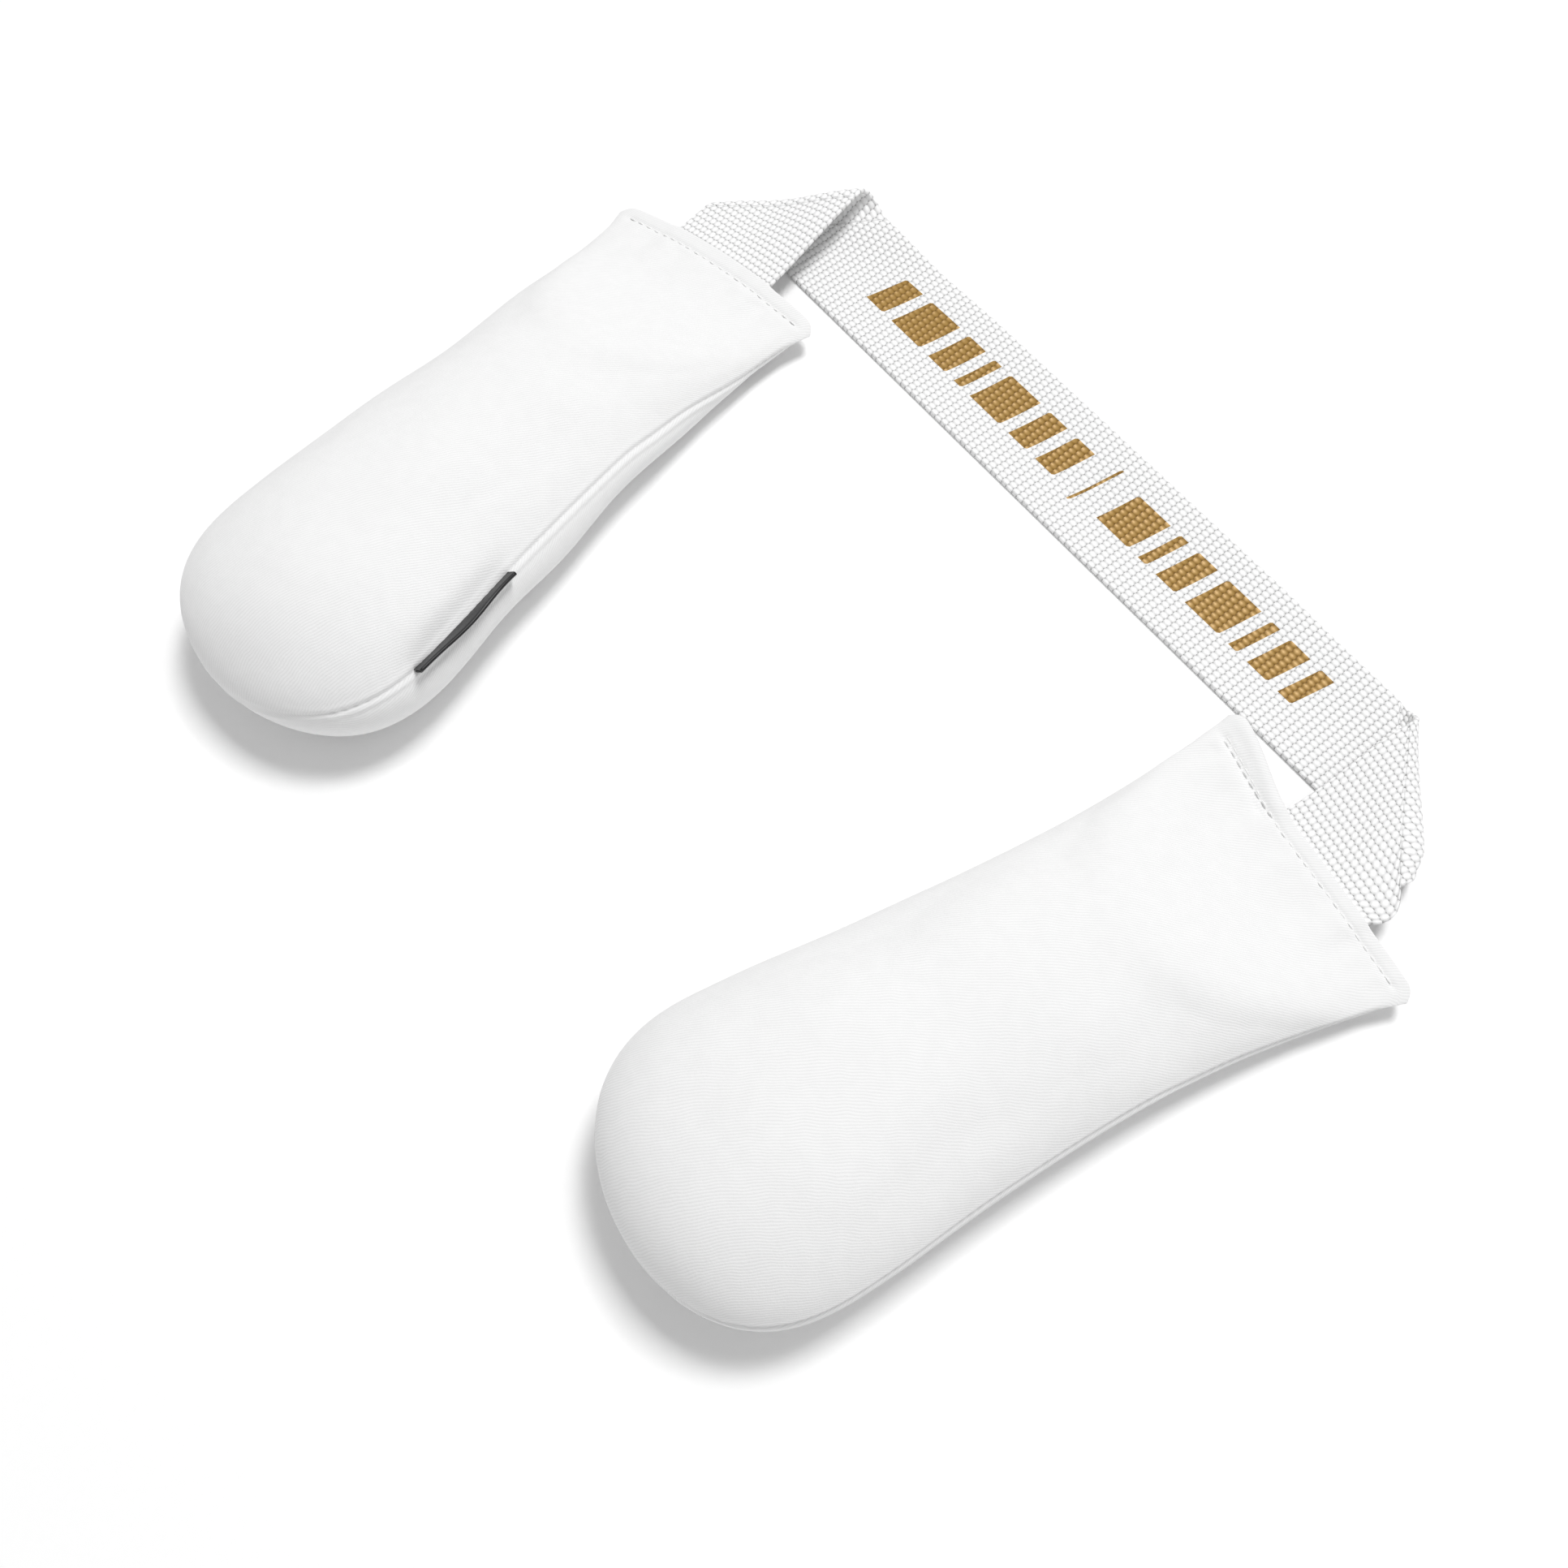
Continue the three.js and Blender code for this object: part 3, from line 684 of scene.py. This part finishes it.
def cloth_movement(shape, rows, tips, b):
    """How the cloth settles when its filling presses out and its seams draw in, in millimetres.

    A coarse cover, a little too small, is simulated with its hem held and its rim shrunk.  Its
    movement is capped by a hyperbolic tangent and fades in behind the hem.  Each panel's is then
    read back at the fine grid's places and smoothed over its neighbours.
    """
    coarse_u = np.linspace(0, 1, TRIAL_COLUMNS)
    band = np.linspace(LIP_ROUND, TIP_START, TRIAL_BODY, endpoint=False)
    share = np.sin(np.linspace(0, math.pi / 2, TRIAL_TIP)) ** 0.9
    coarse_rows = np.concatenate([band, np.full(TRIAL_TIP, TIP_START)])
    coarse_tips = np.concatenate([np.zeros(TRIAL_BODY), share])
    grids = []
    for upper in (True, False):
        plain, way = cover_point(shape, coarse_rows[:, None], coarse_tips[:, None],
                                 -np.cos(math.pi * coarse_u)[None, :], upper)
        free = smooth((plain[..., 0] - 14) / 40)
        grids.append(plain - way * (TRIAL_INSET * free)[..., None])
    points, faces, ids = sewn_together(*grids)
    pad = piece("cloth_trial", points * MM, faces, KNIT)
    hold = 1 - smooth((points[:, 0] - 5) / 16)
    rim = np.zeros(len(points))
    rim[np.concatenate([ids[0][:, 0], ids[0][:, -1], ids[0][-1]])] = 1
    weigh(pad, "held", np.where(hold > 0.01, hold, 0))
    weigh(pad, "drawn", np.where(hold < 0.5, rim, 0))
    cloth = pad.modifiers.new("cloth", "CLOTH").settings
    for setting, value in KNIT_CLOTH.items():
        setattr(cloth, setting, value)
    cloth.effector_weights.gravity = 0.0
    scene = bpy.context.scene
    for step in range(1, CLOTH_STEPS + 1):
        scene.frame_set(step)
    seen = pad.evaluated_get(bpy.context.evaluated_depsgraph_get()).data
    settled = np.empty(len(points) * 3, np.float32)
    seen.vertices.foreach_get("co", settled)
    scene.frame_set(1)
    bpy.data.objects.remove(pad)
    moved = settled.reshape(-1, 3) / MM - points
    size = np.maximum(np.linalg.norm(moved, axis=1, keepdims=True), 1e-6)
    moved = moved * CLOTH_LIMIT * np.tanh(size / CLOTH_LIMIT) / size
    moved = moved * smooth((points[:, :1] - CLOTH_FROM) / CLOTH_FADE)
    fine_place = rows + TIP_LENGTH * tips
    coarse_place = coarse_rows + TIP_LENGTH * coarse_tips
    fine_u = np.arccos(-b) / math.pi
    panels = []
    for grid_ids in ids:
        grid = moved[grid_ids]
        along = np.stack([np.stack([np.interp(fine_place, coarse_place, grid[:, j, k])
                                    for j in range(grid.shape[1])], 1) for k in range(3)], -1)
        fine = np.stack([np.stack([np.interp(fine_u, coarse_u, along[i, :, k])
                                   for i in range(len(along))]) for k in range(3)], -1)
        panels.append(fine)
    rim_mean = (panels[0] + panels[1]) / 2
    for fine in panels:
        for _ in range(SMOOTHING):
            fine[1:-1] = (fine[:-2] + 2 * fine[1:-1] + fine[2:]) / 4
            fine[:, 1:-1] = (fine[:, :-2] + 2 * fine[:, 1:-1] + fine[:, 2:]) / 4
        fine[:, 0], fine[:, -1], fine[-1] = rim_mean[:, 0], rim_mean[:, -1], rim_mean[-1]
    return panels


def make_side_seam(side, cover, way):
    """The side seam's thread: a circle carried along just inside the cover's rim."""
    def round_rim(grid):
        """The grid's points along one side, over the tip and back along the other."""
        return np.concatenate([grid[:-1, 0], grid[-1], grid[:-1, -1][::-1]])

    out = round_rim(way)
    path = round_rim(cover) - SEAM_DEPTH * out
    ahead = unit(np.gradient(path, axis=0))
    beside = unit(np.cross(ahead, out))
    turn = np.linspace(0, 2 * math.pi, THREAD_SIDES, endpoint=False)[None, :, None]
    ring = np.cos(turn) * out[:, None] + np.sin(turn) * beside[:, None]
    points = path[:, None] + SEAM_THREAD * ring
    faces = [grid_quads(len(path), THREAD_SIDES, wrap=True), THREAD_CAP,
             THREAD_CAP[:, ::-1] + THREAD_SIDES * (len(path) - 1)]
    seam = piece(side + "_side_seam_stitches", to_part(side, points.reshape(-1, 3)), faces, THREAD)
    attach(seam, side + "_pouch")
    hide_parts(side + "_side_seam_thread")


def make_cover(side, shape):
    """Top and bottom panels as one closed surface, sewn along the grid's rim."""
    b = columns(101)
    rows, tips = body_rows(1.35)
    seed = 11 if side == "left" else 23
    moved = cloth_movement(shape, rows, tips, b)
    grids = []
    for upper, movement in ((True, moved[0]), (False, moved[1])):
        plain, way = cover_point(shape, rows[:, None], tips[:, None], b[None, :], upper)
        outwards = (movement * way).sum(-1, keepdims=True)
        movement = movement + (np.maximum(outwards, -INWARD_LIMIT) - outwards) * way
        across = arc_lengths(plain)
        to_side = np.minimum(across, across[:, -1:] - across)
        to_tip = arc_lengths(plain[::-1].transpose(1, 0, 2)).T[::-1]
        to_seam = np.minimum(to_side, to_tip + 1e3 * (tips[:, None] <= 0))
        along_seam = arc_lengths(plain[:, :1].transpose(1, 0, 2)).T + 0 * to_seam
        relief = cover_relief(shape, plain, to_seam, along_seam, upper, seed)
        body = plain + movement + way * relief[..., None]
        body[..., 2] = np.maximum(body[..., 2], 0.1)
        grids.append(np.concatenate([mouth_rows(shape, b, upper), body]))
    points, faces, ids = sewn_together(*grids)
    make_side_seam(side, points[ids[0][-len(rows):]], way)
    quads = grid_quads(*grids[0].shape[:2])
    uvs = []
    for grid, quad in ((grids[0], quads), (grids[1], quads[:, ::-1])):
        middle = grid.shape[1] // 2
        across = arc_lengths(grid)
        across = across - across[:, middle][:, None]
        along = arc_lengths(grid[:, middle][None])[0][:, None] + 0 * across
        uvs.append((np.stack([across, along], -1) * MM).reshape(-1, 2)[quad].reshape(-1, 2))
    cover = piece(side + "_pouch_cover", to_part(side, points), faces, KNIT, np.concatenate(uvs))
    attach(cover, side + "_pouch")
    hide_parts(side + "_top_panel", side + "_bottom_panel")
    return cover


def make_hem_stitches(side, shape):
    """Lockstitches on both faces of the band: short arched capsules end to end along a line.

    Each is a circle carried along a shallow arc, its radius falling to nothing at both ends.
    """
    half, rings = shape["hem"] / 2 - 5, 9
    count = int(2 * half / STITCH_PITCH)
    centres = (np.arange(count) - (count - 1) / 2) * STITCH_PITCH
    t = np.linspace(0, 1, rings)[None, :, None]
    turn = np.linspace(0, 2 * math.pi, THREAD_SIDES, endpoint=False)[None, None, :]
    y = centres[:, None, None] + STITCH_LENGTH * (t - 0.5)
    x = STITCH_AT + 0.4 * hem_front(shape, y) + 0 * y
    radius = STITCH_RADIUS * np.sqrt(np.maximum(np.sin(math.pi * t), 0.0025))
    first = rings * THREAD_SIDES * np.arange(count)[:, None, None]
    quads = (first + grid_quads(rings, THREAD_SIDES, wrap=True)).reshape(-1, 4)
    ends = np.concatenate([THREAD_CAP, THREAD_CAP[:, ::-1] + (rings - 1) * THREAD_SIDES])
    caps = (first + ends).reshape(-1, 4)
    for name, sign in (("top", 1), ("bobbin", -1)):
        band = half_height(shape, x, y, sign > 0)
        z = hem_middle(shape, x, y) + sign * (band - 0.62 + 0.34 * np.sin(math.pi * t))
        points = np.stack([x + radius * np.cos(turn), y + 0 * turn,
                           z + radius * np.sin(turn)], -1)
        row = piece(f"{side}_hem_{name}_stitches", to_part(side, points.reshape(-1, 3)),
                    [quads[:, ::-1], caps[:, ::-1]], THREAD)
        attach(row, side + "_pouch")
        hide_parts(f"{side}_hem_{name}_thread")


def make_label(side, shape):
    """Folded ribbon tab: a U of two layers, carried along the seam where it stands out."""
    steps = 43
    x = np.linspace(LABEL_AT - LABEL_LONG / 2, LABEL_AT + LABEL_LONG / 2, steps)
    rows, tips = body_rows(3.0)
    edge, _ = cover_point(shape, rows, tips, np.ones_like(rows), True)
    order = np.argsort(edge[:, 0])
    root = np.stack([x] + [np.interp(x, edge[order, 0], edge[order, k]) for k in (1, 2)], -1)
    lift = 2 * shape["roll"]
    out = np.array([0, math.cos(lift), math.sin(lift)])
    up = np.array([0, -math.sin(lift), math.cos(lift)])
    turn = np.linspace(math.pi / 2, -math.pi / 2, 9)
    flank = np.linspace(-1.6, LABEL_REACH, 7)

    def loop(gap):
        """The ribbon's section, out from the seam and up, at this distance from its middle."""
        reach = np.concatenate([flank[:-1], LABEL_REACH + gap * np.cos(turn), flank[:-1][::-1]])
        height = np.concatenate([np.full(6, gap), gap * np.sin(turn), np.full(6, -gap)])
        return reach, height

    wave = 0.35 * np.sin(2 * math.pi * np.linspace(0, 1, steps) * 1.3 + 0.6)
    points = []
    for gap in LABEL_GAPS:
        reach, height = loop(gap)
        place = (root[:, None] + out * reach[None, :, None]
                 + up * (height[None, :] + wave[:, None] * np.clip(reach, 0, 9) / 4)[..., None])
        points.append(place.reshape(-1, 3))
    cols = len(reach)
    size = steps * cols
    quads = grid_quads(steps, cols)
    i, j = np.arange(steps - 1), np.arange(cols - 1)
    end = np.stack([j, j + 1, j + 1 + size, j + size], -1)
    edge = np.stack([i * cols, (i + 1) * cols, (i + 1) * cols + size, i * cols + size], -1)
    faces = np.concatenate([quads[:, ::-1], quads + size, end[:, ::-1], end + (steps - 1) * cols,
                            edge, (edge + cols - 1)[:, ::-1]])
    path = arc_lengths(np.stack(loop(LABEL_GAPS[0]), -1)[None])[0]
    flat = np.stack(np.broadcast_arrays(path[None, :], x[:, None]), -1).reshape(-1, 2) * MM
    uv = np.concatenate([flat, flat])
    label = piece("left_folded_label", to_part(side, np.concatenate(points)), [faces], SATIN, uv)
    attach(label, "left_pouch")
    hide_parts("left_side_label")


# ==== The strap ====

def fold_frame(side):
    """Where the run's centre line meets the fold, the fold line's direction and its outside."""
    joint = JOINTS[side + "_fold_open"]
    centre = np.array(joint["pos_m"]) / MM
    line = np.array(joint["axis"]) * (1 if joint["axis"][1] > 0 else -1)
    line = line / np.linalg.norm(line)
    outside = np.array([line[1], -line[0], 0.0])
    if outside[0] * POUCHES[side]["side"] < 0:
        outside = -outside
    return centre, line, outside


def webbing_section():
    """Outline of the webbing: across and up, with rounded edges, back to its start."""
    round_off = 0.75
    v = np.linspace(-STRAP_WIDTH / 2 + round_off, STRAP_WIDTH / 2 - round_off, FACE_POINTS)
    turn = np.linspace(math.pi / 2, -math.pi / 2, EDGE_POINTS + 2)[1:-1]
    edge = STRAP_WIDTH / 2 - round_off
    half = STRAP_THICK / 2
    bulge = round_off * np.cos(turn)
    across = np.concatenate([v, edge + bulge, v[::-1], -edge - bulge])
    height = np.concatenate([np.full(FACE_POINTS, half), half * np.sin(turn),
                             np.full(FACE_POINTS, -half), -half * np.sin(turn)])
    return across, height


def raise_at_fold(side, v):
    """The back of the strap stands up a little as it comes into the fold."""
    return POUCHES[side]["raise"] * smooth((v + 4) / 24)


def end_offset(side):
    """How far along x a fold's piece reaches over the straight pieces that it joins."""
    return POUCHES[side]["side"] * FOLD_REACH / abs(fold_frame(side)[2][0])


def run_height(x, v):
    """Height of the run's middle: flat on the table in front, raised along its back edge."""
    bow = np.zeros_like(x)
    for side in POUCHES:
        centre, line, _ = fold_frame(side)
        away = np.abs(centre[0] + v * line[0] / line[1] - x)
        bow = bow + raise_at_fold(side, v) * (1 - smooth(away / 34))
    middle = 1 - smooth((np.abs(x) - 60) / 70)
    return RUN_HEIGHT + bow + 3.2 * smooth((v + 6) / 26) * middle


def strap_piece(name, points, along, across):
    """A length of webbing from a grid of its outline carried along it, closed at both ends.

    An end is closed by strips between the points that face each other across its thickness.
    """
    rows, cols = points.shape[:2]
    quads = grid_quads(rows, cols, wrap=True)
    middle = cols - EDGE_POINTS // 2 - 1
    j = np.arange(1, cols // 2 - 1)
    strips = np.stack([middle - j, middle - j - 1, middle + j + 1, middle + j], -1) % cols
    tips = np.array([[middle, middle - 1, middle + 1],
                     [middle + cols // 2 + 1, middle + cols // 2, middle + cols // 2 - 1]]) % cols
    last = (rows - 1) * cols
    faces = [quads, strips, strips[:, ::-1] + last, tips, tips[:, ::-1] + last]
    flat = np.stack([across, along], -1).reshape(-1, 2) * MM
    return piece(name, points.reshape(-1, 3) * MM, faces, WEBBING, flat, rounded=len(quads))


def make_run():
    """The straight part: the outline carried from one fold line to the other."""
    v, h = webbing_section()
    rows = 200
    u = np.linspace(0, 1, rows)[:, None]
    ends = []
    for side in ("left", "right"):
        centre, line, _ = fold_frame(side)
        ends.append(centre[0] + v * line[0] / line[1] - end_offset(side))
    centre_y = fold_frame("left")[0][1]
    x = ends[0] + (ends[1] - ends[0]) * u
    across = v + 0 * x
    z = run_height(x, across) + h
    points = np.stack([x, centre_y + across, z], -1)
    run = strap_piece("strap_run_webbing", points, x, across)
    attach(run, "strap")
    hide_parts("strap_run")
    make_print()
    return run


def fold_points(side, v, h, turn):
    """Round the fold: the outline swept about a line, moving along it as flat webbing must."""
    centre, line, outside = fold_frame(side)
    y = v - FOLD_RADIUS * turn * outside[1]
    base = centre + line * (y / line[1])[..., None]
    low = RUN_HEIGHT + raise_at_fold(side, v)
    high = FOLD_TOP + POUCHES[side]["lift"] * smooth((v + 4) / 24)
    middle, radius = (low + high) / 2, (high - low) / 2
    back, front, corner = POUCHES[side]["slack"]
    loose = front + (back - front) * smooth((v + 16) / 34)
    loose = loose * (1 - corner * smooth((-v - 12) / 8))
    out = (FOLD_RADIUS * loose - h) * np.sin(turn)
    points = base + outside * out[..., None]
    points[..., 2] = middle - (radius - h) * np.cos(turn)
    return points


def make_bight(side, shape):
    """The half turn of the fold, from the run's end to the layer on top."""
    v, h = webbing_section()
    turn = np.linspace(0, math.pi, 25)[:, None] + 0 * v
    across, height = v + 0 * turn, h + 0 * turn
    points = fold_points(side, across, height, turn)
    centre, line, outside = fold_frame(side)
    way = shape["side"]
    start = centre[0] + across * line[0] / line[1]
    along = start + way * FOLD_RADIUS * turn / abs(outside[0])
    reach = end_offset(side)
    first = points[:1] - [reach, 0, 0]
    first[..., 2] = run_height(first[..., 0], v[None]) + h
    last = turn_points(side, shape, v, h, to_pouch(side, points[-1])[:, 0][None] + abs(reach))
    points = np.concatenate([first, points, last])
    along = np.concatenate([along[:1] - reach, along, along[-1:] + reach])
    across = np.concatenate([across[:1], across, across[-1:]])
    bight = strap_piece(side + "_fold_webbing", points, along, across)
    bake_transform(bight, "strap", side + "_turn",
             start=tuple(centre[:2] * MM) + ((RUN_HEIGHT + 4.2) * MM,),
             end=tuple(centre[:2] * MM) + ((FOLD_TOP - 0.85) * MM,))
    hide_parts(side + "_strap_bight")


def turn_points(side, shape, v, h, x):
    """The layer on top at places x of the pouch's frame: from the fold down into its mouth."""
    top = to_pouch(side, fold_points(side, v, 0 * h, np.full_like(v, math.pi)))
    settle = smooth((x - top[:, 0]) / (-1.5 - top[:, 0]))
    y = top[:, 1] + shape["entry"] * settle
    part = np.clip((x - top[:, 0]) / (-1.5 - top[:, 0]), 0, 1)
    y = y + shape["slide"] * smooth((-v - 2) / 18) * np.sin(math.pi * part ** 0.7)
    level = hem_middle(shape, np.maximum(x, 0), y)
    z = top[:, 2] * (1 - settle) + level * settle + h
    return to_part(side, np.stack([x, y, z], -1)) / MM


def make_turn(side, shape):
    """The layer on top: the outline carried straight from the fold into the pouch's mouth."""
    v, h = webbing_section()
    way = shape["side"]
    fold_x = to_pouch(side, fold_points(side, v, 0 * h, np.full_like(v, math.pi)))[:, 0]
    first_x = fold_x + abs(end_offset(side))
    x = first_x + (TAIL_IN - first_x) * np.linspace(0, 1, 60)[:, None]
    points = turn_points(side, shape, v, h, x)
    centre, line, outside = fold_frame(side)
    start = centre[0] + v * line[0] / line[1] + way * math.pi * FOLD_RADIUS / abs(outside[0])
    along = start + way * (x - fold_x)
    made = strap_piece(side + "_turn_webbing", points, along, v + 0 * x)
    ends = to_part(side, np.array([[-10.0, 0, HEM_HEIGHT], [-0.3, 0, HEM_HEIGHT]]))
    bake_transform(made, side + "_turn", side + "_pouch", start=tuple(ends[0]), end=tuple(ends[1]))
    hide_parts(side + "_strap_turn", side + "_strap_tail")


# Plain slanted bars in two groups with a thin rule between: a generic motif, no lettering.
# Each is its start along the strap and its length, in millimetres.
LEFT_BARS = [(-105, 9), (-92, 15), (-73, 9), (-60, 4), (-52, 15), (-33, 9), (-20, 9)]
RIGHT_BARS = [(9, 15), (28, 4), (36, 9), (49, 15), (68, 4), (76, 9), (89, 6)]
BAR_FRONT, BAR_BACK = -6.0, 9.5
RULE = (-2.5, 1.3, -8.5, 12.0)
BAR_SLANT = 0.22
INK = 0.07


def make_print():
    """Screen print: each bar is a patch that follows the run's top face just above it."""
    centre_y = fold_frame("left")[0][1]
    bars = [(start, size, BAR_FRONT, BAR_BACK) for start, size in LEFT_BARS + RIGHT_BARS]
    bars.append(RULE)
    points, faces, uvs, first = [], [], [], 0
    for start, size, front, back in bars:
        rows, cols = int(size) + 3, 18
        u = np.linspace(0, 1, rows)[:, None]
        v = front + (back - front) * np.linspace(0, 1, cols)[None, :] + 0 * u
        x = start + size * u + BAR_SLANT * (v - front)
        top = run_height(x, v) + STRAP_THICK / 2 + INK
        rim = np.ones((rows, cols), bool)
        rim[1:-1, 1:-1] = False
        top = np.where(rim, top - INK - 0.03, top)
        points.append(np.stack([x, centre_y + v, top], -1).reshape(-1, 3))
        quads = grid_quads(rows, cols)
        faces.append(quads + first)
        uvs.append((np.stack([v, x], -1).reshape(-1, 2) * MM)[quads].reshape(-1, 2))
        first += rows * cols
    ink = piece("strap_print_bars", np.concatenate(points) * MM, [np.concatenate(faces)], GOLD,
                np.concatenate(uvs))
    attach(ink, "strap")
    return ink


# ==== Camera, light and floor ====

def aim(thing, place, target):
    """Puts a camera or light at a place, looking at a target, upright."""
    thing.location = place
    thing.rotation_euler = (Vector(target) - Vector(place)).to_track_quat("-Z", "Y").to_euler()
    bpy.context.scene.collection.objects.link(thing)
    return thing


camera = bpy.data.cameras.new("camera")
camera.sensor_width = 36.0
camera.lens = 40.99
camera.clip_start = 0.01
bpy.context.scene.camera = aim(bpy.data.objects.new("camera", camera),
                               (0.2000, -0.1643, 0.4731), (0.0207, -0.0220, 0.0))


def soft_light(name, place, size, power):
    """A large square area light aimed at the middle of the object."""
    light = bpy.data.lights.new(name, "AREA")
    light.shape = "SQUARE"
    light.size = size
    light.energy = power
    return aim(bpy.data.objects.new(name, light), place, (0, 0, 0))


soft_light("key_light", (-0.17, 1.35, 3.70), 1.2, 100.0)

world = bpy.data.worlds.new("studio")
world.use_nodes = True
world.node_tree.nodes["Background"].inputs[0].default_value = colour("#FFFFFF")
world.node_tree.nodes["Background"].inputs[1].default_value = 0.46
bpy.context.scene.world = world
bpy.context.scene.view_settings.view_transform = "Standard"


def make_floor():
    """White paper sweep: matt, with a very faint tooth."""
    made, tree = material("white_paper", {"Roughness": 0.95, "Specular IOR Level": 0.1})
    place = add(tree, "ShaderNodeTexCoord").outputs["Object"]
    tooth = add(tree, NOISE, {"Vector": place, "Scale": 400.0})
    dress(tree, add(tree, RAMP, (tooth,), [(0.0, "#FDFDFD"), (1.0, "#FFFFFF")]))
    half = 4.0
    corners = np.array([[-half, -half, 0], [half, -half, 0], [half, half, 0], [-half, half, 0]])
    floor = piece("floor", corners, [np.array([[0, 1, 2, 3]])], made)


# ==== Assembly ====

for name, thing in NODES.items():
    finish = next(look for word, look in INNER_FINISH.items() if word in name)
    thing.data.materials.clear()
    thing.data.materials.append(finish)

make_floor()
make_run()
for side, shape in POUCHES.items():
    make_cover(side, shape)
    make_hem_stitches(side, shape)
    make_bight(side, shape)
    make_turn(side, shape)
make_label("left", POUCHES["left"])
